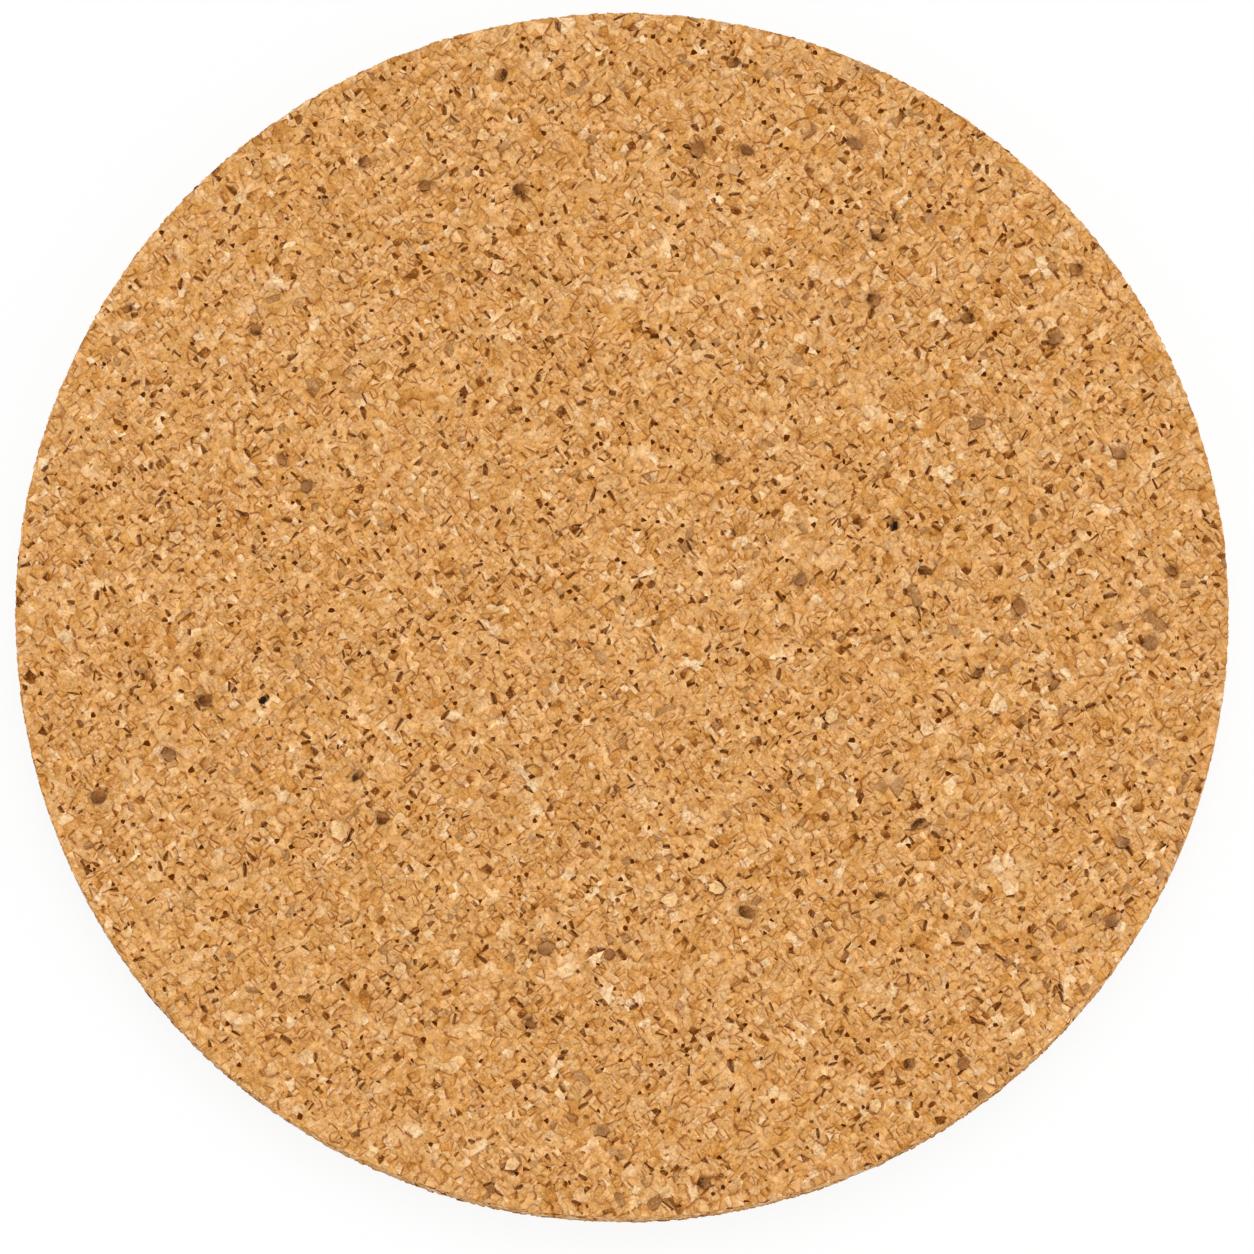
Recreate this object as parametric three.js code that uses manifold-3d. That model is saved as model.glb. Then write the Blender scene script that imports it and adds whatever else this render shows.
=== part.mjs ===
// Round cork coaster: a flat disc of pressed, resin-bound cork granulate. The fine granulate and its
// binder are one ground body. The coarse granules that show in the top face are separate pieces, and
// each is bedded in its own pocket of the ground body, flush with the face.
// Millimetres, +Z up, origin at the centre of the underside.
import * as THREE from "three";
import { mergeVertices } from "three/addons/utils/BufferGeometryUtils.js";
import Module from "manifold-3d";

// Driving dimensions of the disc.
const discDiameter = 100;
const discThickness = 5;
const edgeRound = 0.3; // radius rubbed onto the upper and lower rims

// Driving dimensions of the bedding of a coarse granule.
const granuleDepth = 1.2; // from the top face down to the granule's underside
const footShare = 0.7; // a granule's underside, as a share of its outline in the top face
const bondFilm = 0.15; // thickness of the binder round and under a granule

// Outline of a coarse granule: an oval with few corners, dented at two rates.
const fewestCorners = 5;
const mostCorners = 7;
const dentDepth = 0.14; // how far the outline strays from its oval, as a share of its reach
const slowDents = { perTurn: 2, shift: 1.9 }; // shift turns the dents from each granule to the next
const quickDents = { perTurn: 3, shift: 2.7 };

// Fineness of the facets.
const rimSegments = 96;
const roundSegments = 2;

// Worked out from the dimensions above.
const discRadius = discDiameter / 2;
const pocketDepth = granuleDepth + bondFilm;
const cutterRise = bondFilm; // how far a pocket's cutter stands above the top face

// Coarse granules, by kind. x and y place the middle as shares of the disc's radius. length and width
// are the granule's size in the face, and turn is the bearing of its length, in degrees from +X.
const barkChips = [
  { x: 0.125, y: 0.77, length: 1.6, width: 1.4, turn: 10 },
  { x: -0.17, y: 0.705, length: 1.3, width: 1.2, turn: 80 },
  { x: -0.325, y: 0.71, length: 1.2, width: 1.1, turn: 40 },
  { x: -0.425, y: 0.75, length: 1.3, width: 1.0, turn: 25 },
  { x: 0.185, y: 0.915, length: 1.0, width: 0.9, turn: 0 },
  { x: -0.2, y: 0.895, length: 1.3, width: 1.2, turn: 60 },
  { x: -0.815, y: 0.505, length: 1.0, width: 0.7, turn: 20 },
  { x: -0.605, y: 0.47, length: 1.0, width: 0.9, turn: 100 },
  { x: -0.56, y: 0.255, length: 1.1, width: 0.9, turn: 120 },
  { x: 0.205, y: 0.77, length: 1.6, width: 0.8, turn: -25 },
  { x: 0.31, y: 0.795, length: 1.8, width: 0.5, turn: 40 },
  { x: 0.415, y: 0.52, length: 1.3, width: 1.1, turn: -40 },
  { x: 0.57, y: 0.49, length: 1.3, width: 1.1, turn: 50 },
  { x: 0.75, y: 0.57, length: 1.4, width: 1.1, turn: 30 },
  { x: 0.425, y: 0.625, length: 1.7, width: 0.7, turn: -8 },
  { x: 0.16, y: 0.255, length: 1.1, width: 0.9, turn: -35 },
  { x: 0.5, y: 0.07, length: 1.7, width: 0.8, turn: -20 },
  { x: 0.655, y: 0.01, length: 1.5, width: 1.3, turn: 110 },
  { x: 0.905, y: 0.07, length: 1.4, width: 0.9, turn: -30 },
  { x: -0.685, y: -0.145, length: 1.4, width: 1.0, turn: 15 },
  { x: -0.86, y: -0.305, length: 1.5, width: 1.4, turn: 0 },
  { x: -0.435, y: -0.27, length: 1.5, width: 0.7, turn: 42 },
  { x: -0.395, y: -0.34, length: 1.1, width: 1.1, turn: 30 },
  { x: -0.02, y: -0.565, length: 1.0, width: 1.0, turn: 0 },
  { x: -0.15, y: -0.68, length: 1.1, width: 0.9, turn: -20 },
  { x: 0.205, y: -0.495, length: 1.7, width: 1.2, turn: -20 },
  { x: 0.135, y: -0.94, length: 1.2, width: 1.1, turn: 70 },
  { x: 0.49, y: -0.35, length: 1.6, width: 1.1, turn: 10 },
  { x: 0.56, y: -0.745, length: 1.2, width: 1.1, turn: 100 },
  { x: 0.47, y: -0.745, length: 1.0, width: 0.7, turn: 30 },
  { x: 0.43, y: -0.47, length: 1.5, width: 0.8, turn: -15 },
  { x: 0.71, y: -0.12, length: 1.2, width: 0.7, turn: 60 },
  { x: 0.585, y: -0.1, length: 1.2, width: 0.8, turn: 40 },
];
const blackChips = [
  { x: -0.59, y: -0.145, length: 0.8, width: 0.6, turn: 90 },
  { x: 0.45, y: 0.145, length: 0.9, width: 0.6, turn: 90 },
];
const greyGranules = [
  { x: 0.385, y: 0.78, length: 1.7, width: 1.1, turn: -25 },
  { x: 0.585, y: 0.315, length: 1.4, width: 1.1, turn: 20 },
  { x: 0.82, y: 0.265, length: 1.5, width: 1.2, turn: -10 },
  { x: -0.745, y: -0.235, length: 1.4, width: 1.2, turn: 0 },
  { x: -0.125, y: -0.555, length: 1.4, width: 1.4, turn: 0 },
  { x: 0.87, y: -0.05, length: 1.4, width: 1.3, turn: 80 },
  { x: 0.82, y: -0.38, length: 1.4, width: 1.1, turn: -30 },
  { x: 0.805, y: -0.51, length: 1.4, width: 1.2, turn: 40 },
  { x: -0.52, y: 0.21, length: 1.1, width: 1.0, turn: 60 },
  { x: -0.03, y: -0.855, length: 1.5, width: 1.0, turn: 15 },
  { x: 0.715, y: 0.455, length: 1.2, width: 1.2, turn: 0 },
  { x: 0.295, y: 0.055, length: 1.3, width: 1.1, turn: 30 },
];
const paleGranules = [
  { x: -0.205, y: 0.575, length: 1.6, width: 1.4, turn: 70 },
  { x: -0.04, y: 0.855, length: 1.4, width: 1.2, turn: 30 },
  { x: -0.23, y: 0.795, length: 1.2, width: 1.2, turn: 45 },
  { x: -0.735, y: 0.125, length: 1.6, width: 1.2, turn: 10 },
  { x: -0.365, y: -0.59, length: 1.6, width: 1.3, turn: 60 },
  { x: -0.465, y: -0.36, length: 2.2, width: 1.6, turn: -50 },
  { x: -0.18, y: -0.91, length: 1.6, width: 1.4, turn: 20 },
  { x: 0.08, y: -0.475, length: 1.7, width: 1.6, turn: 35 },
  { x: 0.155, y: -0.455, length: 1.5, width: 1.3, turn: -10 },
  { x: 0.415, y: -0.815, length: 1.4, width: 1.3, turn: 15 },
  { x: 0.345, y: -0.17, length: 1.6, width: 1.4, turn: 50 },
];

// Finishes: dry, matt cork in the tones of its kinds.
const groundCork = new THREE.MeshStandardMaterial({ color: 0xd39a5b, roughness: 0.9, metalness: 0 });
const barkCork = new THREE.MeshStandardMaterial({ color: 0x7a4e28, roughness: 0.92, metalness: 0 });
const blackBark = new THREE.MeshStandardMaterial({ color: 0x2e2118, roughness: 0.85, metalness: 0 });
const greyCork = new THREE.MeshStandardMaterial({ color: 0xa07a50, roughness: 0.92, metalness: 0 });
const paleCork = new THREE.MeshStandardMaterial({ color: 0xf0c488, roughness: 0.88, metalness: 0 });

const wasm = await Module();
wasm.setup();

// A closed geometry as a solid that can be cut.
function solidFrom(geometry) {
  const bare = geometry.clone();
  bare.deleteAttribute("normal");
  bare.deleteAttribute("uv");
  const merged = mergeVertices(bare);
  return new wasm.Manifold(
    new wasm.Mesh({
      numProp: 3,
      vertProperties: merged.attributes.position.array,
      triVerts: new Uint32Array(merged.index.array),
    }),
  );
}

// A cut solid as a geometry again.
function geometryFrom(solid) {
  const mesh = solid.getMesh();
  const geometry = new THREE.BufferGeometry();
  geometry.setAttribute("position", new THREE.BufferAttribute(mesh.vertProperties, 3));
  geometry.setIndex(new THREE.BufferAttribute(mesh.triVerts, 1));
  geometry.computeVertexNormals();
  return geometry;
}

// The uncut disc: a turned profile with both rims rounded.
function discGeometry() {
  const outline = new THREE.Path();
  outline.moveTo(0, 0);
  outline.lineTo(discRadius - edgeRound, 0);
  outline.absarc(discRadius - edgeRound, edgeRound, edgeRound, -Math.PI / 2, 0);
  outline.absarc(discRadius - edgeRound, discThickness - edgeRound, edgeRound, 0, Math.PI / 2);
  outline.lineTo(0, discThickness);
  const profile = outline.getPoints(roundSegments);
  return new THREE.LatheGeometry(profile, rimSegments).rotateX(Math.PI / 2);
}

// Reach of a granule's outline in one direction, as a share of its oval, so that no two look alike.
function outlineShare(angle, number) {
  const slow = Math.sin(slowDents.perTurn * angle + slowDents.shift * number);
  const quick = Math.sin(quickDents.perTurn * angle + quickDents.shift * number);
  return 1 + (dentDepth * (slow + quick)) / 2;
}

// A granule, or with a margin and a rise the cutter of its pocket: a faceted frustum that narrows
// downwards, from the top face (z = 0) to its depth.
function frustumGeometry(granule, number, depth, margin, rise) {
  const corners = fewestCorners + (number % (mostCorners - fewestCorners + 1));
  const halfLength = granule.length / 2 + margin;
  const halfWidth = granule.width / 2 + margin;
  const geometry = new THREE.CylinderGeometry(1, 1, depth + rise, corners).rotateX(Math.PI / 2);
  geometry.translate(0, 0, (rise - depth) / 2);
  const position = geometry.attributes.position;
  for (let i = 0; i < position.count; i++) {
    const [x, y, z] = [position.getX(i), position.getY(i), position.getZ(i)];
    const narrowing = 1 + ((1 - footShare) * z) / granuleDepth;
    const share = narrowing * outlineShare(Math.atan2(y, x), number);
    position.setXY(i, x * share * halfLength, y * share * halfWidth);
  }
  geometry.rotateZ(THREE.MathUtils.degToRad(granule.turn));
  return geometry;
}

// Where a granule's middle lies on the top face.
function granulePlace(granule) {
  return new THREE.Vector3(granule.x * discRadius, granule.y * discRadius, discThickness);
}

const kinds = [
  { name: "bark_chip", granules: barkChips, material: barkCork },
  { name: "black_bark_chip", granules: blackChips, material: blackBark },
  { name: "grey_granule", granules: greyGranules, material: greyCork },
  { name: "pale_granule", granules: paleGranules, material: paleCork },
];

const coaster = new THREE.Group();
coaster.name = "cork_coaster";

// Every coarse granule is a mesh of its own, and takes its pocket out of the disc.
let ground = solidFrom(discGeometry());
for (const kind of kinds) {
  kind.granules.forEach((granule, index) => {
    const place = granulePlace(granule);
    const piece = new THREE.Mesh(frustumGeometry(granule, index, granuleDepth, 0, 0), kind.material);
    piece.name = `${kind.name}_${String(index + 1).padStart(2, "0")}`;
    piece.position.copy(place);
    coaster.add(piece);

    const cutter = frustumGeometry(granule, index, pocketDepth, bondFilm, cutterRise);
    cutter.translate(place.x, place.y, place.z);
    ground = ground.subtract(solidFrom(cutter));
  });
}

const groundBody = new THREE.Mesh(geometryFrom(ground), groundCork);
groundBody.name = "granulate_body";
coaster.add(groundBody);

export default coaster;
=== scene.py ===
"""Cork coaster: a disc cut from pressed cork granulate, dressed over its CAD frame.

Cork sheet is ground granules, pressed together with a little binder and sliced. Each face of the disc is
laid out as such a packing: places are scattered about evenly over it, and the ground nearest to one place
is a cell. A cell, or a few neighbouring ones, make a granule: a raised chip with its own slope, height and
tone. Seams of binder run between the granules. Some seams gape as slots, some corners are open pores, and
both bite into the granules beside them. The coarse granules of the CAD frame are separate pieces that lie
in the top face.

Lengths are in millimetres, unless a comment says metres. Every mesh is written in metres.
"""
import math
from collections import namedtuple
from statistics import fmean as mean

import bpy
import numpy as np
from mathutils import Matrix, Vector
from mathutils.geometry import delaunay_2d_cdt


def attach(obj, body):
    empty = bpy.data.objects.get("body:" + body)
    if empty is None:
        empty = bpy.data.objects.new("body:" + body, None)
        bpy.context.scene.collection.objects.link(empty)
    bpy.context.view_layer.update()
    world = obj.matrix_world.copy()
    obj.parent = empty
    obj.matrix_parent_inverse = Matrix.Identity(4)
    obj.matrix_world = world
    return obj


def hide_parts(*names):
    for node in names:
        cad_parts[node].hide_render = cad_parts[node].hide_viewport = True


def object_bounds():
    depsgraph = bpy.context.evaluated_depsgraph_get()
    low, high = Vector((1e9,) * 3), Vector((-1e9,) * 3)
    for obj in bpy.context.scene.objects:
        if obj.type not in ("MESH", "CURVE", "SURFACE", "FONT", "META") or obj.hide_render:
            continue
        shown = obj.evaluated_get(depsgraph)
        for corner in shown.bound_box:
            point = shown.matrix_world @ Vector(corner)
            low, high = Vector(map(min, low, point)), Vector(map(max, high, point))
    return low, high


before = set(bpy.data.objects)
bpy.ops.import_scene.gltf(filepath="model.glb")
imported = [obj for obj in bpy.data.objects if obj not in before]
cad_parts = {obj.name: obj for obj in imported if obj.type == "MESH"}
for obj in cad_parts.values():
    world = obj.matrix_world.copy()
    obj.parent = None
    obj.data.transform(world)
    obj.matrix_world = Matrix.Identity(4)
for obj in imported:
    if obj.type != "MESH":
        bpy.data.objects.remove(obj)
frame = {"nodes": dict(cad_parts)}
cad_low, cad_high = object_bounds()

MM = 0.001
BODY = "root"
GROUND_NODE = "granulate_body"

# Sizes of the disc, from the frame
RADIUS = (cad_high.x - cad_low.x) / 2 / MM
THICKNESS = (cad_high.z - cad_low.z) / MM

# The layout of the granules
SEED = 20
LATTICE_PER_MM2 = {"top_face": 1.88, "underside": 1.6, "rim": 2.0}  # squares that the granules lie on
LATTICE_JITTER = 0.32  # how far a site may lie off its place, in squares
LATTICE_TURN = math.radians(42)
BLOCK_SHARE = 0.14  # share of the squares that lie in blocks of four, with one large cell
SQUARE_CELLS = (1, 2, 3)  # cells side by side in any other square
SQUARE_SHARES = (0.46, 0.36, 0.18)
LENGTHWISE_SHARE = 0.5  # share of the squares whose cells lie along the row
MIRROR_REACH = 2.0  # sites this near to an edge are mirrored across it
MIRROR_JITTER = 0.04  # so that no four sites lie on one circle
EDGE_MARGIN = 0.13  # least distance of a site from the edge of a face
SAME_PLACE = 1e-7  # sites nearer to each other than this are one
GRANULE_CELLS = (1, 2, 3, 5)  # cells that a granule may have, and the shares of each
GRANULE_SHARES = (0.84, 0.12, 0.03, 0.01)
TOLERANCE = 0.008  # the least length that counts

# The height of the granules, and the seams between them
GRANULE_DROP = (0.05, 0.16)  # how far granule tops lie below the face
GRANULE_TILT = 0.14  # their usual slope
MOST_TILT = 2 * GRANULE_TILT
GRANULE_BULGE = (0.04, 0.14)  # rise of a one-cell granule's middle
PEAK_SHIFT = 0.45  # how far a granule's highest point may lie off its middle, as a share of its reach
LEAST_DROP = 0.008  # nothing lies nearer to the face than this
SEAM_DIP = 0.07  # most depth of a closed corner below its granules
CORNER_SHADE = 0.25  # most painted shade at a closed corner between granules
SEAM_STRENGTH = (0.1, 1.0)

# Pores at the corners between granules, and slots along their seams
CLOSED_SHARE = 0.92  # share of the corners that are closed
PORE_SHARE = 0.022  # share that are pores
PORE_OPENING = (0.6, 1.3)
GAP_OPENING = (0.3, 0.6)  # of the corners that are neither closed nor pores
PORE_REACH = 0.28  # how far a pore with an opening of 1 runs along each seam
PORE_CUT = 0.85  # the most of a seam that a pore takes
SHARED_CUT = 0.45  # and the most if there is a pore at the other end too
PORE_DEPTH = 0.11
PORE_SHADE = 0.7  # darkness of a pore's slopes, as a share of its middle's
SLOT_SHARE = 0.017  # share of the seams that gape along their whole length
SLOT_OPENING = (0.2, 1.1)
SLOT_DEPTH = 0.1
SLOT_SHADE = 0.58
BITE_PLACE = (0.3, 0.7)  # where along its edge a pore or slot bites into a granule
BITE_DEPTH = (0.05, 0.5)  # and how far, as a share of the way to its highest point
BITE_LEAST = 0.45  # a gap less dark than this doesn't bite

# The edges of a face
UPPER_EDGE = 0  # of the rim, and the one edge of a flat face
LOWER_EDGE = 1
EDGE_INSET = (0.05, 0.2)  # how far inside the edge the granule tops end
EDGE_CUT = 0.4  # the most of the way to a cell's middle that this takes
EDGE_DUST_AND_SHADE = (0.3, 0.55)  # most darkness of the upper and the lower edge: grime, and at the lower edge painted contact shade too
ARRIS_ROUND = 0.1  # how far the worn edge of the disc lies inside both faces
ARRIS_RAGGED = 0.15  # and how far it strays
WAVE_COUNT = 9  # sine waves that make its ragged line
WAVE_RATES = (30, 330)  # fewest and most turns of such a wave round the disc
MITRE = 1.3  # thickness of a face's slab, which meets the drum behind the rim at a mitre

# Tones of the granules, from 0 for dark bark to 1 for cream
# For granules below an area in square millimetres: shares of dark and pale ones, range of the others
GRANULE_TONES = (
    (0.12, 0.4, 0.06, (0.22, 0.8)),
    (0.2, 0.16, 0.05, (0.26, 0.78)),
    (0.5, 0.02, 0.03, (0.32, 0.75)),
    (math.inf, 0.0, 0.04, (0.4, 0.74)),
)
DARK_END = 0.12
PALE_END = 0.88
MIDDLE_LEAN = 0.7  # below 1 makes most middle tones light
CELL_TONE_SHIFT = 0.03  # usual change of tone from cell to cell of a granule
TONE_SLOPE = 0.36  # usual change of tone across a granule, for each millimetre
TONE_SWING = 0.22  # and the largest change from its middle
RIM_PAINTED_LIGHT = 0.08  # how much paler the rim is painted, as painted light on its side
RIM_CONTRAST = 1.5  # how much more uneven it is, about its middle tone
RIM_MIDDLE = 0.55
RIM_SHADE_AND_DIRT = 0.4  # how much darker the lower rim is painted: painted shade near the table, and soiling
RIM_SHADE_AND_DIRT_HEIGHT = 1.6
HIDDEN_TONE = 0.5
RARE_HUES = (0.98, 0.982)  # granules with higher hues are taupe
RARE_CELLS = 2  # the most cells that one of them has

# Coarse granules
PLACE_DIGITS = 4
COARSE_INNER = 0.3  # share of the reach within which a vertex isn't on the outline
COARSE_SIDE_POINTS = 2
COARSE_CHIPPING = 0.24  # the most of the way to the middle that a point is chipped off
COARSE_SQUARE = 2.5  # side of the squares that they are looked up by
COARSE_BED = 0.3  # how far the granulate is pressed down in its bed
COARSE_BED_SCALE = 1.12  # size of the bed, as a share of the outline
COARSE_TONE = (0.2, 0.8)
COARSE_TONE_SHIFT = 0.15  # usual change of tone from facet to facet
COARSE_TONE_SLOPE = 0.9  # usual change of tone across the granule, for each millimetre
# Rings of a coarse granule, from the foot to the middle: scale, range of depths, crack and roughness
COARSE_RINGS = (
    (0.75, (0.9, 0.9), 0.0, 0.0),
    (1.0, (0.02, 0.05), 0.4, 0.03),
    (0.92, (0.01, 0.03), 0.05, 0.03),
    (0.5, (0.01, 0.06), 0.0, 0.2),
)
KIND_SLOTS = {
    "bark_chip": "bark_cork",
    "black_bark_chip": "black_bark",
    "grey_granule": "grey_cork",
    "pale_granule": "pale_cork",
}

# Texture maps, in shares of a map's side
MAP_MIDDLE = 0.5
FACE_MAP_REACH = 0.498
HIDDEN_MAP_MIDDLE = 0.03
HIDDEN_MAP_REACH = 0.025
RIM_ROWS = 8
RIM_ROW_PITCH = 0.116
RIM_MAP_MM = 46.0  # length of rim across the map, with its margins
RIM_MAP_MARGIN = 3.3

# The finish of cork. A noise has the size of its lumps, its detail and its roughness
LUMPS = (0.2, 3.0, 0.75)
BREAKS = (0.5, 1.0, 0.5)
SPECKS = (0.15, 2.0, 0.5)
GRAIN = (0.1, 2.0, 0.6)
CRUMB_MM = 0.44
SEED_SPREAD = 60.0  # how far the noises of two granules lie apart
GROUND_MOTTLE = 0.22  # how much lumps lighten or darken a granule
CHIP_MOTTLE = 0.24
CRUMB_MOTTLE = 0.08
RARE_BLEND = 0.75
BREAK_MOST = 0.5
SPECK_MOST = 0.5
# painted shade at the cracks, in the seams' brown
CRACK_SHADE_MOST = 0.35
SEAM_FRAY = (-0.3, 0.3)
CRACK_FRAY = (0.7, 1.3)
ROUGHNESS = (0.95, 0.8)
SPECULAR = 0.05
GRAIN_STRENGTH = 0.6
GRAIN_HEIGHT = 0.05
# Where an effect sets in and where it is full, on the scale of its noise or attribute
COOL_HUES = (0.45, 1.0)
LUMP_RANGE = (0.25, 0.75)
MIDDLE_LUMPS = (0.3, 0.7)
CRUMB_GAP = (0.24, 0.03)
BREAK_RANGE = (0.38, 0.64)
DARK_SPECKS = (0.42, 0.26)
CREAM_AND_GLINT_SPECKS = (0.56, 0.72)
SEAM_RANGE = (0.5, 0.95)
CRACK_SHADE_RANGE = (0.0, 0.3)
PORE_RANGE = (0.25, 0.6)

# The camera, from the photograph's framing
PHOTO_SIDE_PX = 1254
PX_PER_MM = 12.15
CAMERA_TILT = math.radians(6.6)
CAMERA_DISTANCE = 1.2  # metres
CAMERA_SIGHT = 10.0  # metres
TARGET = (0.41, -1.2)  # what the middle of the picture looks at, on the top face
SENSOR_MM = 36.0

# The studio
FLOOR_HALF = 1.5  # metres
FLOOR_DROP = 0.02  # below the underside
FLOOR_WHITENESS = 0.9  # share of plain white in the floor that is seen
FLOOR_COLOUR = (0.9, 0.9, 0.9, 1)
WHITE = (1, 1, 1, 1)
ROOM_LIGHT = 0.61
# Lights: name, strength, spread in degrees, and the direction that the light goes
STUDIO_LIGHTS = (
    ("key", 1.4, 40, (-0.05, -0.5, -1.0)),
    ("fill", 0.5, 60, (-0.6, 0.5, -0.7)),
)


# The layout of a face

def circumcentres(a, b, c):
    """The middles of the circles through three places each."""
    ab, ac = b - a, c - a
    cross = 2 * (ab[:, 0] * ac[:, 1] - ab[:, 1] * ac[:, 0])
    ab2, ac2 = (ab**2).sum(1), (ac**2).sum(1)
    u = a[:, 0] + (ac[:, 1] * ab2 - ab[:, 1] * ac2) / cross
    v = a[:, 1] + (ab[:, 0] * ac2 - ac[:, 0] * ab2) / cross
    return list(zip(u.tolist(), v.tolist()))


def joined(groups):
    """Groups of places, and of the sites that these stand for, as one array each."""
    places, sites = zip(*groups)
    return np.concatenate(places), np.concatenate(sites)


class Layout:
    """The granules of one face. Each site on it, at a place (u, v), owns the cell of places nearest to it.
    Sites near an edge of the face are mirrored across it, so that the cells end there."""

    def __init__(self, rng, sites, mirrored, copied):
        self.count = len(sites)
        own = [(sites, np.arange(self.count))]
        ghosts = [(places, -1 - edge * self.count - origin) for places, origin, edge in mirrored]
        self.places, self.identity = joined(own + ghosts + copied)
        self.find_cells()
        self.join_cells(rng)

    def edge_at(self, key):
        """The edge of the face that a corner or a side lies on, or None."""
        return None if min(key) >= 0 else (-1 - min(key)) // self.count

    def find_cells(self):
        """Sets cells, {site: [(key, u, v)]}, with the corners of each cell in order. A corner's key is the
        three sites or edges that meet there, so that neighbours share it."""
        places = [Vector(place) for place in self.places]
        _, _, faces, origins, _, _ = delaunay_2d_cdt(places, [], [], 0, SAME_PLACE)
        source = np.array([origin[0] for origin in origins])
        triangles = source[np.array(faces)]
        corners = circumcentres(*(self.places[triangles[:, k]] for k in range(3)))
        keys = [tuple(sorted(row)) for row in self.identity[triangles].tolist()]
        # Round each site: the triangle that starts at a neighbour, and the neighbour where it ends
        around = {}
        for t, triangle in enumerate(triangles.tolist()):
            for n, site in enumerate(triangle):
                if site < self.count:
                    around.setdefault(site, {})[triangle[n - 2]] = t, triangle[n - 1]
        self.cells = {}
        for site, fan in sorted(around.items()):
            self.cells[site] = []
            neighbour = min(fan)
            for _ in fan:
                t, neighbour = fan[neighbour]
                self.cells[site].append((keys[t], *corners[t]))
        self.neighbours = {i: set() for i in self.cells}
        for key in keys:
            inside = [i for i in key if i >= 0]
            for i in inside:
                self.neighbours[i].update(inside)

    def join_cells(self, rng):
        """Sets granule, the first site of each site's granule, and size, its count of cells."""
        wanted = rng.choice(GRANULE_CELLS, self.count, p=GRANULE_SHARES).tolist()
        self.granule = [-1] * self.count
        self.size = [0] * self.count
        for i in rng.permutation(self.count).tolist():
            if self.granule[i] >= 0 or i not in self.cells:
                continue
            members = [i]
            self.granule[i] = i
            for j in members:
                for near in sorted(self.neighbours[j]):
                    if self.granule[near] < 0 and len(members) < wanted[i]:
                        self.granule[near] = i
                        members.append(near)
            self.size[i] = len(members)


# Meshes

class Shell:
    """Collects a piece's vertices and faces, with a hue on each face, and on each corner of a face a tone, a
    seam value, a crack value and a place on the texture map."""

    def __init__(self):
        self.points, self.faces, self.hue = [], [], []
        self.tone, self.seam, self.crack, self.spots = [], [], [], []

    def point(self, place):
        self.points.append(place)
        return len(self.points) - 1

    def face(self, corners, tones, hue, spots=(), seams=None, cracks=None):
        self.faces.append(corners)
        self.tone.extend(tones)
        self.hue.append(hue)
        self.spots.extend(spots)
        self.seam.extend(seams or [0.0] * len(corners))
        self.crack.extend(cracks or [0.0] * len(corners))

    def piece(self, name, material):
        mesh = bpy.data.meshes.new(name)
        mesh.from_pydata([(x * MM, y * MM, z * MM) for x, y, z in self.points], [], self.faces)
        for label, domain in (("hue", "FACE"), ("tone", "CORNER"), ("seam", "CORNER"), ("crack", "CORNER")):
            data = mesh.attributes.new(label, "FLOAT", domain).data
            data.foreach_set("value", np.array(getattr(self, label), np.float32))
        if self.spots:
            layer = mesh.uv_layers.new(name="OFBake")
            layer.data.foreach_set("uv", np.array(self.spots, np.float32).ravel())
        mesh.materials.append(material)
        made = bpy.data.objects.new(name, mesh)
        bpy.context.scene.collection.objects.link(made)
        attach(made, BODY)
        return made


# The relief of a face

def openness(rng, count):
    """How open each corner between granules is: most are closed, some gape, and a few are pores."""
    kind = rng.uniform(0, 1, count)
    pores, gaps = rng.uniform(*PORE_OPENING, count), rng.uniform(*GAP_OPENING, count)
    return np.where(kind > 1 - PORE_SHARE, pores, np.where(kind > CLOSED_SHARE, gaps, 0.0))


def area_of(outline):
    """The area inside an outline, in square millimetres."""
    pairs = zip(outline, outline[1:] + outline[:1])
    return sum(a[1] * b[2] - b[1] * a[2] for a, b in pairs) / 2


def tone_of(draw, area):
    """A granule's tone. Small chips are dark or cream more often."""
    dark, pale, (low, high) = next(tones[1:] for tones in GRANULE_TONES if area < tones[0])
    if draw < dark:
        return DARK_END * draw / dark
    if draw > 1 - pale:
        return 1 - (1 - PALE_END) * (1 - draw) / pale
    return low + (high - low) * ((draw - dark) / (1 - dark - pale)) ** MIDDLE_LEAN


def rise(slope, middle, place):
    """How far a slope rises from its middle to a place."""
    return slope[0] * (place[0] - middle[0]) + slope[1] * (place[1] - middle[1])


def toward(place, other, share):
    """The place that lies a share of the way from one to another."""
    return place[0] + share * (other[0] - place[0]), place[1] + share * (other[1] - place[1])


def side_between(key, after):
    """The two sites whose cells meet between two corners."""
    return tuple(sorted(set(key) & set(after)))


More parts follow.
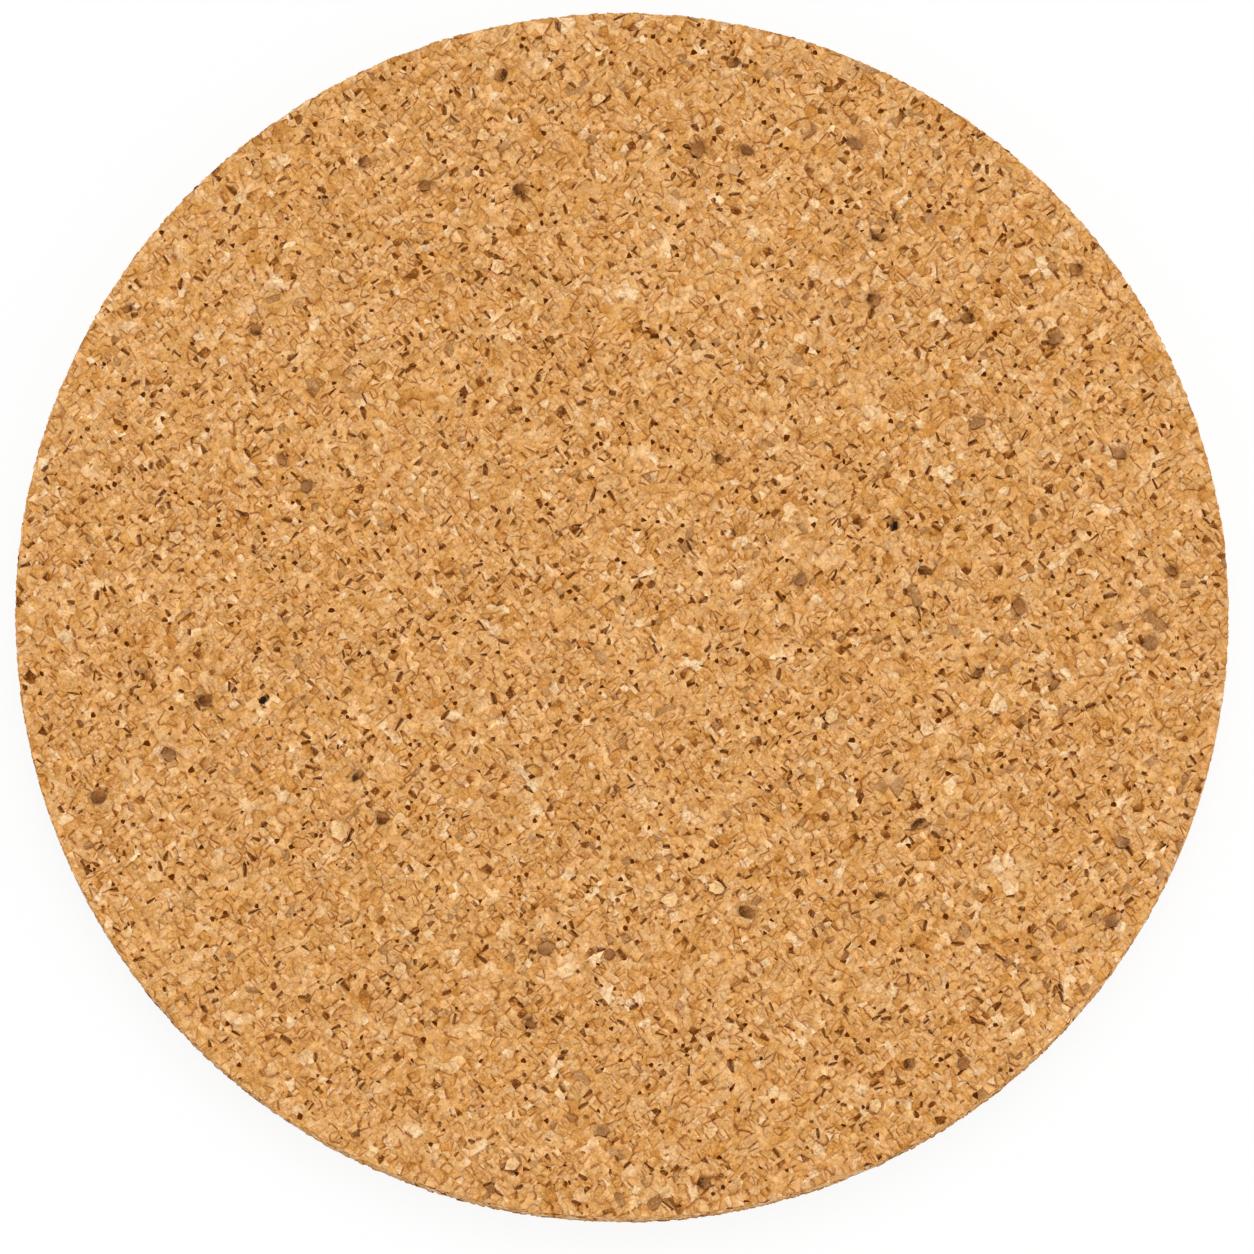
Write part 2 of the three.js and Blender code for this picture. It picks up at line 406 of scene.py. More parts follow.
class Relief:
    """The granules of a layout, added to a shell on a surface. edge_after gives, for each edge of the face,
    the vertex that follows each vertex along it."""

    def __init__(self, rng, shell, layout, surface):
        self.rng, self.shell, self.layout, self.surface = rng, shell, layout, surface
        count = layout.count
        self.drop = rng.uniform(*GRANULE_DROP, count).tolist()
        tilt = rng.normal(0, GRANULE_TILT, (count, 2))
        self.tilt = tilt.clip(-MOST_TILT, MOST_TILT).tolist()
        self.bulge = rng.uniform(*GRANULE_BULGE, count).tolist()
        self.tone_draw, self.hue = rng.uniform(0, 1, (2, count)).tolist()
        self.tone_shift = rng.normal(0, CELL_TONE_SHIFT, count).tolist()
        self.tone_slope = rng.normal(0, TONE_SLOPE, (count, 2)).tolist()
        self.peak_shift = rng.uniform(0, PEAK_SHIFT, count).tolist()
        self.peak_bearing = rng.uniform(0, 1, count).tolist()
        self.middles = layout.places[:count].tolist()
        self.edge_after, self.seams = {}, {}
        self.find_slots()
        self.find_corners()
        self.find_pore_ends()
        for i, outline in layout.cells.items():
            Cell(self, i, outline).add_sides()

    def height(self, i, u, v):
        """The height over the face of cell i's granule at a place, without its bulge."""
        granule = self.layout.granule[i]
        slope = rise(self.tilt[granule], self.middles[granule], (u, v))
        return min(slope - self.drop[granule] - self.surface.sunk(u, v), -LEAST_DROP)

    def find_slots(self):
        """Sets slots, the sides that gape, and slot_at, how wide the slot at a corner is."""
        layout = self.layout
        self.slots, self.slot_at = set(), {}
        for i, outline in layout.cells.items():
            for n, (key, _, _) in enumerate(outline):
                after = outline[(n + 1) % len(outline)][0]
                side = side_between(key, after)
                if side[0] != i or layout.granule[side[0]] == layout.granule[side[1]]:
                    continue
                taken = any(k in self.slot_at or layout.edge_at(k) is not None for k in (key, after))
                if not taken and self.rng.uniform() < SLOT_SHARE:
                    self.slots.add(side)
                    self.slot_at[key], self.slot_at[after] = self.rng.uniform(*SLOT_OPENING, 2).tolist()

    def find_corners(self):
        """Sets corner, the vertex of each corner, opening, how open it is, and dust_and_shade, how dark a
        vertex
        is painted: shade in pores, slots and corners and at the lower edge, and grime at the edges.
        """
        heights, granules, places = {}, {}, {}
        for i, outline in self.layout.cells.items():
            for key, u, v in outline:
                heights.setdefault(key, []).append(self.height(i, u, v))
                granules.setdefault(key, set()).add(self.layout.granule[i])
                places.setdefault(key, (u, v))
        self.corner, self.opening, self.dust_and_shade = {}, {}, {}
        dips, dust_and_shade_draws = self.rng.uniform(0, 1, (2, len(places))).tolist()
        openings = openness(self.rng, len(places)).tolist()
        for (key, place), opening, dip, dust_and_shade in zip(places.items(), openings, dips, dust_and_shade_draws):
            edge = self.layout.edge_at(key)
            if edge is not None:
                # an edge is painted dark: grime, and painted contact shade at the rim's lower edge
                opening, crack = 0.0, EDGE_DUST_AND_SHADE[edge] * dust_and_shade
                point = self.surface.edge_point(edge, *place)
            else:
                # a slot or a pore is painted dark, as shade in the hollow
                if key in self.slot_at:
                    opening, crack = self.slot_at[key], SLOT_SHADE
                    height = min(heights[key]) - SLOT_DEPTH
                elif len(granules[key]) == 1:
                    opening, crack = 0.0, 0.0
                    height = mean(heights[key])
                elif opening:
                    crack = opening
                    height = min(heights[key]) - PORE_DEPTH * opening
                else:
                    # painted shade where granules meet, fading towards their peaks
                    crack = CORNER_SHADE * dust_and_shade**2
                    height = mean(heights[key]) - SEAM_DIP * dip
                point = self.surface.lift(*place, height)
            self.opening[key] = opening
            self.corner[key] = self.shell.point(point)
            self.dust_and_shade[self.corner[key]] = crack

    def pore_end(self, corner, other):
        """The place where a pore at a corner ends, on the seam that runs to another corner."""
        length = max(math.dist(corner[1:], other[1:]), TOLERANCE)
        most = SHARED_CUT if self.opening[other[0]] else PORE_CUT
        return toward(corner[1:], other[1:], min(PORE_REACH * self.opening[corner[0]] / length, most))

    def find_pore_ends(self):
        """Sets pore_vertex, the vertex at each end of a pore: {(corner, side): vertex}."""
        found = {}
        for i, outline in self.layout.cells.items():
            for n, corner in enumerate(outline):
                if not self.opening[corner[0]]:
                    continue
                for other in (outline[n - 1], outline[(n + 1) % len(outline)]):
                    side = side_between(corner[0], other[0])
                    if side not in self.slots:
                        place = self.pore_end(corner, other)
                        _, heights = found.setdefault((corner[0], side), (place, []))
                        heights.append(self.height(i, *place))
        self.pore_vertex = {}
        for name, (place, heights) in found.items():
            self.pore_vertex[name] = self.shell.point(self.surface.lift(*place, mean(heights)))

    def seam_of(self, side):
        """How strong the line along a side is. Inside a granule there is none."""
        if side not in self.seams:
            inside = min(side) >= 0 and len({self.layout.granule[j] for j in side}) == 1
            self.seams[side] = 0.0 if inside else self.rng.uniform(*SEAM_STRENGTH)
        return self.seams[side]


class Cell:
    """A cell of a relief: facets that rise to its highest point, the peak, and slopes down to its pores, its
    slots and the edge of the face. A vertex goes with its place, as (vertex, (u, v))."""

    def __init__(self, relief, i, outline):
        self.relief, self.i, self.outline = relief, i, outline
        self.granule = relief.layout.granule[i]
        size = relief.layout.size[self.granule]
        self.tone = tone_of(relief.tone_draw[self.granule], area_of(outline) * size) + relief.tone_shift[i]
        self.hue = relief.hue[self.granule]
        if size > RARE_CELLS:
            self.hue *= RARE_HUES[0]
        self.middle = relief.middles[i]
        self.ends = [self.ends_of_corner(n) for n in range(len(outline))]
        end = self.ends[int(relief.peak_bearing[i] * len(outline))][0]
        place = toward(self.middle, end[1], relief.peak_shift[i])
        self.peak = self.top(place, relief.bulge[self.granule] / size**2)

    def top(self, place, bulge=0.0):
        """A new vertex on the top."""
        height = min(self.relief.height(self.i, *place) + bulge, -LEAST_DROP)
        return self.relief.shell.point(self.relief.surface.lift(*place, height)), place

    def corner(self, n):
        """The vertex of a corner."""
        return self.relief.corner[self.outline[n][0]], self.outline[n][1:]

    def ends_of_corner(self, n):
        """The first and the last vertex that the top has at a corner."""
        relief = self.relief
        key, u, v = self.outline[n]
        if relief.opening[key]:
            m = (n + 1) % len(self.outline)
            return [self.end_toward(n, n - 1), self.end_toward(n, m)]
        if relief.layout.edge_at(key) is None:
            return [self.corner(n)] * 2
        inset = relief.rng.uniform(*EDGE_INSET) / max(math.dist(self.middle, (u, v)), TOLERANCE)
        return [self.top(toward((u, v), self.middle, min(inset, EDGE_CUT)))] * 2

    def end_toward(self, n, m):
        """The vertex where the top ends at an open corner n, on the side that runs to corner m."""
        corner, other = self.outline[n], self.outline[m]
        side = side_between(corner[0], other[0])
        if side in self.relief.slots:
            return self.corner(n)
        return self.relief.pore_vertex[corner[0], side], self.relief.pore_end(corner, other)

    def bite(self, one, other):
        """A vertex between two others, where a pore or slot bites into the granule."""
        along = toward(one[1], other[1], self.relief.rng.uniform(*BITE_PLACE))
        return self.top(toward(along, self.peak[1], self.relief.rng.uniform(*BITE_DEPTH)))

    def tone_at(self, place):
        """The tone at a place. It changes evenly across the granule."""
        relief = self.relief
        swing = rise(relief.tone_slope[self.granule], relief.middles[self.granule], place)
        return relief.surface.tone(self.tone + min(max(swing, -TONE_SWING), TONE_SWING), place[1])

    def face(self, corners, seams=None, shade=0.0):
        """Adds a face that is at least as dark as its shade."""
        relief = self.relief
        vertices = [vertex for vertex, _ in corners]
        tones = [self.tone_at(place) for _, place in corners]
        spots = [relief.surface.spot(*place, self.middle) for _, place in corners]
        cracks = [max(relief.dust_and_shade.get(vertex, 0.0), shade) for vertex in vertices]
        relief.shell.face(vertices, tones, self.hue, spots, seams, cracks)

    def add_sides(self):
        """Adds the faces of every side, from corner n to corner m, and of every pore."""
        relief = self.relief
        for n, (key, _, _) in enumerate(self.outline):
            m = (n + 1) % len(self.outline)
            side = side_between(key, self.outline[m][0])
            if side in relief.slots:
                low = [self.ends[n][1], self.ends[m][0]]
                self.add_gap(self.ends[n][0], self.ends[m][1], low, SLOT_SHADE)
                continue
            seam = relief.seam_of(side)
            self.face([self.ends[n][1], self.ends[m][0], self.peak], [seam, seam, 0.0])
            if relief.opening[key] and side_between(self.outline[n - 1][0], key) not in relief.slots:
                self.add_gap(*self.ends[n], [self.corner(n)], relief.opening[key])
            self.add_edge_slope(n, m)
            edge = relief.layout.edge_at(side)
            if edge is not None:
                relief.edge_after.setdefault(edge, {})[self.corner(n)[0]] = self.corner(m)[0]

    def add_gap(self, first, last, low, darkness):
        """Adds this cell's part of a pore or slot: the top's edge from its first to its last vertex, which is
        bitten if the gap is dark, and the slope down to the low vertices."""
        edge = [first, last]
        if darkness >= BITE_LEAST:
            edge.insert(1, self.bite(first, last))
        for one, other in zip(edge, edge[1:]):
            self.face([one, other, self.peak])
        self.face([first, *low, *edge[:0:-1]], shade=PORE_SHADE * darkness)

    def add_edge_slope(self, n, m):
        """Adds the slope down to a side or a corner on the edge of the face."""
        inner = [self.ends[m][0], self.ends[n][1]]
        outer = [end if self.relief.opening[self.outline[k][0]] else self.corner(k)
                 for k, end in ((n, inner[1]), (m, inner[0]))]
        outer_vertices = [vertex for vertex, _ in outer]
        slope = outer + [end for end in inner if end[0] not in outer_vertices]
        if len(slope) > 2:
            self.face(slope)


def close_back(shell, edge_after, depth, map_middle):
    """Closes a shell behind an edge: a mitred skirt runs inwards, to a flat back at the given height."""
    ring = [min(edge_after)]
    for _ in range(len(edge_after) - 1):
        ring.append(edge_after[ring[-1]])
    if len(set(ring)) < len(ring) or edge_after[ring[-1]] != ring[0]:
        raise RuntimeError("the edge of a face is not one closed ring")
    low = []
    for index in ring:
        x, y, _ = shell.points[index]
        share = (RADIUS - MITRE) / math.hypot(x, y)
        low.append(shell.point((x * share, y * share, depth)))
    scale = HIDDEN_MAP_REACH / RADIUS

    def face(corners):
        places = [shell.points[corner] for corner in corners]
        spots = [(map_middle[0] + scale * x, map_middle[1] + scale * y) for x, y, _ in places]
        shell.face(corners, [HIDDEN_TONE] * len(corners), HIDDEN_TONE, spots)

    for n in range(len(ring)):
        m = (n + 1) % len(ring)
        face([ring[m], ring[n], low[n], low[m]])
    face(low[::-1])


# The three faces of the disc

def smooth_wave(rng):
    """A smooth random function of an angle, mostly from 0 to 1, made of sine waves."""
    rates = rng.integers(*WAVE_RATES, WAVE_COUNT)
    shifts = rng.uniform(0, 2 * math.pi, WAVE_COUNT)
    return lambda angle: 0.5 + sum(math.sin(r * angle + s) for r, s in zip(rates, shifts)) / WAVE_COUNT


class Arris:
    """The worn, slightly ragged edge between the rim and a flat face."""

    def __init__(self, rng, level, side):
        self.level, self.side = level, side
        self.inset_wave, self.drop_wave = smooth_wave(rng), smooth_wave(rng)

    def point(self, angle):
        radius = RADIUS - ARRIS_ROUND - ARRIS_RAGGED * self.inset_wave(angle)
        drop = ARRIS_ROUND + ARRIS_RAGGED * self.drop_wave(angle)
        return radius * math.cos(angle), radius * math.sin(angle), self.level - self.side * drop


class FlatSurface:
    """The top face (side 1) or the underside (side -1). u runs along side times x, and v along y. sunk(u, v)
    is how far a granule is pressed down there."""

    def __init__(self, level, side, arris, sunk):
        self.level, self.side, self.arris, self.sunk = level, side, arris, sunk

    def lift(self, u, v, height):
        """The place at a height over the surface, which ends at the worn edge of the disc."""
        inside = min(1.0, (RADIUS - ARRIS_ROUND) / max(math.hypot(u, v), TOLERANCE))
        return self.side * u * inside, v * inside, self.level + self.side * height

    def edge_point(self, edge, u, v):
        return self.arris.point(math.atan2(v, self.side * u))

    def tone(self, tone, v):
        return tone

    def spot(self, u, v, middle):
        """A place on the texture map."""
        scale = FACE_MAP_REACH / RADIUS
        return MAP_MIDDLE + scale * u, MAP_MIDDLE + scale * v


class RimSurface:
    """The rim. u runs round it and v up it. The texture map holds it in rows."""

    def __init__(self, upper, lower):
        self.arrises = {UPPER_EDGE: upper, LOWER_EDGE: lower}

    def sunk(self, u, v):
        return 0.0

    def lift(self, u, v, height):
        level = min(max(v, ARRIS_ROUND), THICKNESS - ARRIS_ROUND)
        return (RADIUS + height) * math.cos(u / RADIUS), (RADIUS + height) * math.sin(u / RADIUS), level

    def edge_point(self, edge, u, v):
        return self.arrises[edge].point(u / RADIUS)

    def tone(self, tone, v):
        """A tone on the rim: paler all over, for painted light on its side, more uneven, and darker near the
        table, for painted shade and soiling.
        """
        # painted shade near the table, with some soiling, fading out upwards
        shade_and_dirt = RIM_SHADE_AND_DIRT * max(0.0, 1 - v / RIM_SHADE_AND_DIRT_HEIGHT)
        return RIM_MIDDLE + RIM_CONTRAST * (tone - RIM_MIDDLE) + RIM_PAINTED_LIGHT - shade_and_dirt

    def spot(self, u, v, middle):
        """A place on the texture map, in the row of the cell that it belongs to."""
        row_length = 2 * math.pi * RADIUS / RIM_ROWS
        row = min(int((middle[0] / row_length) + RIM_ROWS / 2), RIM_ROWS - 1)
        start = (row - RIM_ROWS / 2) * row_length - RIM_MAP_MARGIN
        return (u - start) / RIM_MAP_MM, row * RIM_ROW_PITCH + v / RIM_MAP_MM


def scatter(rng, columns, rows):
    """Places in a rectangle from -0.5 to 0.5 both ways, on a lattice of squares: most squares have one, some
    have two or three side by side, and some blocks of four squares share one."""
    row, column = np.mgrid[0:rows, 0:columns]
    is_block = rng.uniform(0, 1, (rows // 2 + 1, columns // 2 + 1)) < BLOCK_SHARE
    squares = np.stack([column, row], -1)[~is_block[row // 2, column // 2]] + 0.5
    block_row, block_column = np.nonzero(is_block)
    blocks = 2.0 * np.stack([block_column, block_row], -1) + 1
    places = [blocks + rng.uniform(-LATTICE_JITTER, LATTICE_JITTER, blocks.shape)]
    cells = rng.choice(SQUARE_CELLS, len(squares), p=SQUARE_SHARES)
    for number in SQUARE_CELLS:
        shared = squares[cells == number]
        lengthwise = rng.uniform(0, 1, (len(shared), 1)) < LENGTHWISE_SHARE
        axis = np.hstack([lengthwise, ~lengthwise])
        for n in range(number):
            jitter = rng.uniform(-LATTICE_JITTER, LATTICE_JITTER, shared.shape) / number
            places.append(shared + axis * ((n + 0.5) / number - 0.5) + jitter)
    return np.concatenate(places).clip(0, (columns, rows)) / (columns, rows) - 0.5


def flat_layout(rng, density):
    """The layout of the top face or the underside. Its one edge is the disc's outline."""
    steps = math.ceil(2 * RADIUS * math.sqrt(2 * density))
    places = scatter(rng, steps, steps) * steps / math.sqrt(density)
    cosine, sine = math.cos(LATTICE_TURN), math.sin(LATTICE_TURN)
    sites = places @ np.array([[cosine, sine], [-sine, cosine]])
    sites = sites[np.hypot(*sites.T) < RADIUS - EDGE_MARGIN]
    far = np.hypot(*sites.T)
    near = np.flatnonzero(far > RADIUS - MIRROR_REACH)
    ghosts = sites[near] * ((2 * RADIUS - far[near]) / far[near])[:, None]
    ghosts += rng.uniform(-MIRROR_JITTER, MIRROR_JITTER, ghosts.shape)
    return Layout(rng, sites, [(ghosts, near, UPPER_EDGE)], [])


def rim_layout(rng, density):
    """The layout of the rim, unrolled. Its edges are above and below, and its ends meet."""
    turn = 2 * math.pi * RADIUS
    columns, rows = round(turn * math.sqrt(density)), round(THICKNESS * math.sqrt(density))
    sites = scatter(rng, columns, rows) * (turn, THICKNESS) + (0, THICKNESS / 2)
    sites[:, 1] = sites[:, 1].clip(EDGE_MARGIN, THICKNESS - EDGE_MARGIN)
    copied = []
    for side in (-1, 1):
        near = np.flatnonzero(side * sites[:, 0] > turn / 2 - 2 * MIRROR_REACH)
        copied.append((sites[near] - (side * turn, 0), near))
    extended, origin = joined([(sites, np.arange(len(sites)))] + copied)
    mirrored = []
    jitter = rng.uniform(-MIRROR_JITTER, MIRROR_JITTER, sites.shape)
    for level, edge in ((THICKNESS, UPPER_EDGE), (0.0, LOWER_EDGE)):
        near = np.flatnonzero(abs(extended[:, 1] - level) < MIRROR_REACH)
        ghosts = np.stack([extended[near, 0], 2 * level - extended[near, 1]], 1) + jitter[origin[near]]
        mirrored.append((ghosts, origin[near], edge))
    return Layout(rng, sites, mirrored, copied)


def build_flat_face(rng, name, material, surface):
    """The top face or the underside, as a closed slab."""
    shell = Shell()
    layout = flat_layout(rng, LATTICE_PER_MM2[name])
    relief = Relief(rng, shell, layout, surface)
    back = surface.level - surface.side * MITRE
    close_back(shell, relief.edge_after[UPPER_EDGE], back, (HIDDEN_MAP_MIDDLE, HIDDEN_MAP_MIDDLE))
    return shell.piece(name, material)


def build_drum(rng, name, material, surface):
    """The rim, with the drum behind it that the slabs of the two faces lie on."""
    shell = Shell()
    relief = Relief(rng, shell, rim_layout(rng, LATTICE_PER_MM2["rim"]), surface)
    for edge, level in ((UPPER_EDGE, THICKNESS - MITRE), (LOWER_EDGE, MITRE)):
        place = HIDDEN_MAP_MIDDLE * (1 + 2 * edge), 1 - HIDDEN_MAP_MIDDLE
        close_back(shell, relief.edge_after[edge], level, place)
    return shell.piece(name, material)


# The coarse granules in the top face

class CoarseGranule:
    """A coarse granule of the CAD frame."""

    def __init__(self, name, node):
        self.name = name
        tops = {(round(v.co.x / MM, PLACE_DIGITS), round(v.co.y / MM, PLACE_DIGITS))
                for v in node.data.vertices if v.co.z / MM > THICKNESS - TOLERANCE}
        self.middle = np.mean(list(tops), 0)
        reach = max(math.hypot(*(p - self.middle)) for p in tops)
        far = [p for p in tops if math.hypot(*(p - self.middle)) > COARSE_INNER * reach]
        self.outline = np.array(sorted(far, key=self.bearing))
        bed = self.middle + COARSE_BED_SCALE * (self.outline - self.middle)
        self.bed_sides = list(zip(bed.tolist(), np.roll(bed, -1, 0).tolist()))

    def bearing(self, place):
        """The direction of a place from the middle."""
        return math.atan2(*(place - self.middle)[::-1])

    def covers(self, u, v):
        """True if a place lies in the granule's bed."""
        inside = False
        for a, b in self.bed_sides:
            if (a[1] > v) != (b[1] > v) and u < a[0] + (v - a[1]) * (b[0] - a[0]) / (b[1] - a[1]):
                inside = not inside
        return inside

    def chipped_outline(self, rng):
        """The outline with points along its sides, each chipped off a little."""
        points = []
        for a, b in zip(self.outline, np.roll(self.outline, -1, 0)):
            for n in range(COARSE_SIDE_POINTS):
                place = a + (b - a) * n / COARSE_SIDE_POINTS
                points.append(place - rng.uniform(0, COARSE_CHIPPING) * (place - self.middle))
        return points

    def build(self, rng, material):
        """A rough chip: a chipped outline, a faceted top, and sides that narrow down to a flat foot."""
        points = self.chipped_outline(rng)
        count = len(points)
        shell = Shell()
        cracks = {}
        tone = rng.uniform(*COARSE_TONE)
        slope = rng.normal(0, COARSE_TONE_SLOPE, 2)
        hue = rng.uniform(0, 1)

        def face(corners):
            darkness = [cracks.get(corner, 0.0) for corner in corners]
            shift = tone + rng.normal(0, COARSE_TONE_SHIFT)
            tones = [shift + slope @ (shell.points[corner][:2] - self.middle) for corner in corners]
            shell.face(corners, tones, hue, cracks=darkness)

        def ring(scale, drop, crack, roughness):
            made = []
            for point in points:
                u, v = self.middle + (point - self.middle) * scale * (1 + rng.uniform(-roughness, roughness))
                depth = drop[0] + (drop[1] - drop[0]) * rng.uniform(0, 1)
                made.append(shell.point((u, v, THICKNESS - depth)))
                cracks[made[-1]] = crack * rng.uniform(0, 1)
            return made

        rings = [ring(*sizes) for sizes in COARSE_RINGS]
        foot, crown = rings[0], rings[-1]
        peak = shell.point((*self.middle, THICKNESS - rng.uniform(*COARSE_RINGS[-1][1])))
        for lower, higher in zip(rings, rings[1:]):
            for n in range(count):
                m = (n + 1) % count
                face([lower[n], lower[m], higher[m], higher[n]])
        for n in range(count):
            face([crown[n], crown[(n + 1) % count], peak])
        face(foot[::-1])
        piece = shell.piece(self.name + "_chip", material)
        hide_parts(self.name)
        return piece


class CoarseGranules:
    """All the coarse granules, by the squares of the top face that they lie in or near."""

    def __init__(self, nodes):
        self.all = [CoarseGranule(name, node) for name, node in sorted(nodes.items()) if name != GROUND_NODE]
        self.squares = {}
        for granule in self.all:
            u, v = self.square(*granule.middle)
            for du in (-1, 0, 1):
                for dv in (-1, 0, 1):
                    self.squares.setdefault((u + du, v + dv), []).append(granule)

    def square(self, u, v):
        return math.floor(u / COARSE_SQUARE), math.floor(v / COARSE_SQUARE)

    def sunk(self, u, v):
        """How far the granulate is pressed down at a place, to bed a coarse granule."""
        near = self.squares.get(self.square(u, v), ())
        return COARSE_BED if any(granule.covers(u, v) for granule in near) else 0.0


# Colours

def linear(red, green, blue):
    """A colour as a screen shows it, from 0 to 255, in linear light, by the sRGB curve."""
    def channel(value):
        share = value / 255
        return share / 12.92 if share <= 0.04045 else ((share + 0.055) / 1.055) ** 2.4

    return channel(red), channel(green), channel(blue), 1.0


# brown of the seams, which also paints the shade at cracks
SEAM_BROWN = linear(142, 76, 22)
# painted shade deep in pores and slots, and the colour of dark specks
PORE_BROWN = linear(108, 52, 8)
# pale flecks, and painted glints on the granules
CREAM_AND_GLINT = linear(250, 212, 158)
# Ramps have rows of a tone and its colour as a screen shows it
WARM_CORK = [
    (0.0, 104, 52, 10),
    (0.12, 152, 94, 34),
    (0.25, 202, 137, 60),
    (0.5, 224, 165, 93),
    (0.8, 240, 188, 126),
    (0.88, 246, 200, 142),
    (1.0, 252, 216, 166),
]
COOL_CORK = [
    (0.0, 102, 58, 20),
    (0.12, 156, 104, 50),
    (0.25, 199, 140, 70),
    (0.5, 218, 165, 99),
    (0.8, 235, 188, 131),
    (1.0, 248, 214, 166),
]
TAUPE_CORK = [(0.0, 112, 76, 44), (1.0, 190, 140, 88)]
BARK = [(0.0, 72, 43, 20), (0.5, 142, 93, 48), (1.0, 170, 119, 70)]
BLACK_BARK = [(0.0, 24, 19, 16), (1.0, 48, 38, 31)]
GREY_CORK = [(0.0, 132, 90, 53), (1.0, 178, 130, 84)]
PALE_CORK = [(0.0, 226, 179, 119), (1.0, 244, 202, 145)]
BLACKEST = linear(*BLACK_BARK[0][1:])

# warm, cool and rare are ramps from dark to pale tones, and mottle is how uneven they are
# cream is the colour of pale flecks and painted glints; pore, of painted shade in pores and slots
Finish = namedtuple("Finish", "warm cool rare cream seam pore mottle")


def chip_finish(ramp, seam=SEAM_BROWN, pore=PORE_BROWN):
    """The finish of a kind of coarse granule, with the tones of one ramp."""
    return Finish(ramp, ramp, None, linear(*ramp[-1][1:]), seam, pore, CHIP_MOTTLE)


FINISHES = {
    "ground_cork": Finish(WARM_CORK, COOL_CORK, TAUPE_CORK, CREAM_AND_GLINT, SEAM_BROWN, PORE_BROWN, GROUND_MOTTLE),
    "bark_cork": chip_finish(BARK),
    "black_bark": chip_finish(BLACK_BARK, BLACKEST, BLACKEST),
    "grey_cork": chip_finish(GREY_CORK),
    "pale_cork": chip_finish(PALE_CORK),
}


# Materials

class Nodes:
    """Adds and links the nodes of a material."""

    def __init__(self, name):
        self.material = bpy.data.materials.new(name)
        self.material.use_nodes = True
        self.tree = self.material.node_tree
        self.tree.nodes.clear()

    def add(self, kind, inputs=None, **settings):
        node = self.tree.nodes.new(kind)
        for key, value in settings.items():
            setattr(node, key, value)
        for key, value in (inputs or {}).items():
            self.put(node.inputs[key], value)
        return node

    def put(self, socket, value):
        """Links a value to a socket, or sets it there if it is a constant."""
        if isinstance(value, bpy.types.NodeSocket):
            self.tree.links.new(value, socket)
        else:
            socket.default_value = value

    def attribute(self, name):
        return self.add("ShaderNodeAttribute", attribute_name=name).outputs["Fac"]

    def noise(self, seed, size_mm, detail, roughness):
        """Noise with lumps about size_mm across, which differs from seed to seed."""
        place = self.add("ShaderNodeTexCoord").outputs["Object"]
        inputs = {"Vector": place, "W": seed, "Scale": 1 / (size_mm * MM), "Detail": detail,
                  "Roughness": roughness}
        return self.add("ShaderNodeTexNoise", inputs, noise_dimensions="4D").outputs["Fac"]

    def crumbs(self, size_mm):
        """Crumbs about size_mm across: a random value for each, and the distance from its edge."""
        place = self.add("ShaderNodeTexCoord").outputs["Object"]
        inputs = {"Vector": place, "Scale": 1 / (size_mm * MM)}
        colour = self.add("ShaderNodeTexVoronoi", inputs).outputs["Color"]
        value = self.add("ShaderNodeSeparateColor", {"Color": colour}).outputs["Red"]
        gap = self.add("ShaderNodeTexVoronoi", inputs, feature="DISTANCE_TO_EDGE").outputs["Distance"]
        return value, gap

    def ramp(self, factor, stops):
        node = self.add("ShaderNodeValToRGB", {"Fac": factor})
        elements = node.color_ramp.elements
        while len(elements) < len(stops):
            elements.new(1.0)
        for element, (position, *colour) in zip(elements, stops):
            element.position = position
            element.color = linear(*colour)
        return node.outputs["Color"]

    def span(self, value, source, result=(0.0, 1.0)):
        """Maps a value from the source range to the result's, and holds it at their ends."""
        inputs = {"Value": value, "From Min": source[0], "From Max": source[1], "To Min": result[0],
                  "To Max": result[1]}
        return self.add("ShaderNodeMapRange", inputs).outputs["Result"]

    def maths(self, operation, one, other):
        return self.add("ShaderNodeMath", {0: one, 1: other}, operation=operation).outputs[0]

    def scaled(self, value, factor):
        return self.maths("MULTIPLY", value, factor)

    def mix(self, factor, one, other, blend="MIX"):
        node = self.add("ShaderNodeMix", data_type="RGBA", blend_type=blend)
        for name, value in (("Factor_Float", factor), ("A_Color", one), ("B_Color", other)):
            self.put(next(socket for socket in node.inputs if socket.identifier == name), value)
        return next(socket for socket in node.outputs if socket.identifier == "Result_Color")


def granule_colour(nodes, finish, tone, hue):
    """The plain colour of a granule. The few with the highest hues take the rare ramp."""
    warm, cool = nodes.ramp(tone, finish.warm), nodes.ramp(tone, finish.cool)
    colour = nodes.mix(nodes.span(hue, COOL_HUES), warm, cool)
    if finish.rare:
        rarity = nodes.span(hue, RARE_HUES, (0.0, RARE_BLEND))
        colour = nodes.mix(rarity, colour, nodes.ramp(tone, finish.rare))
    return colour


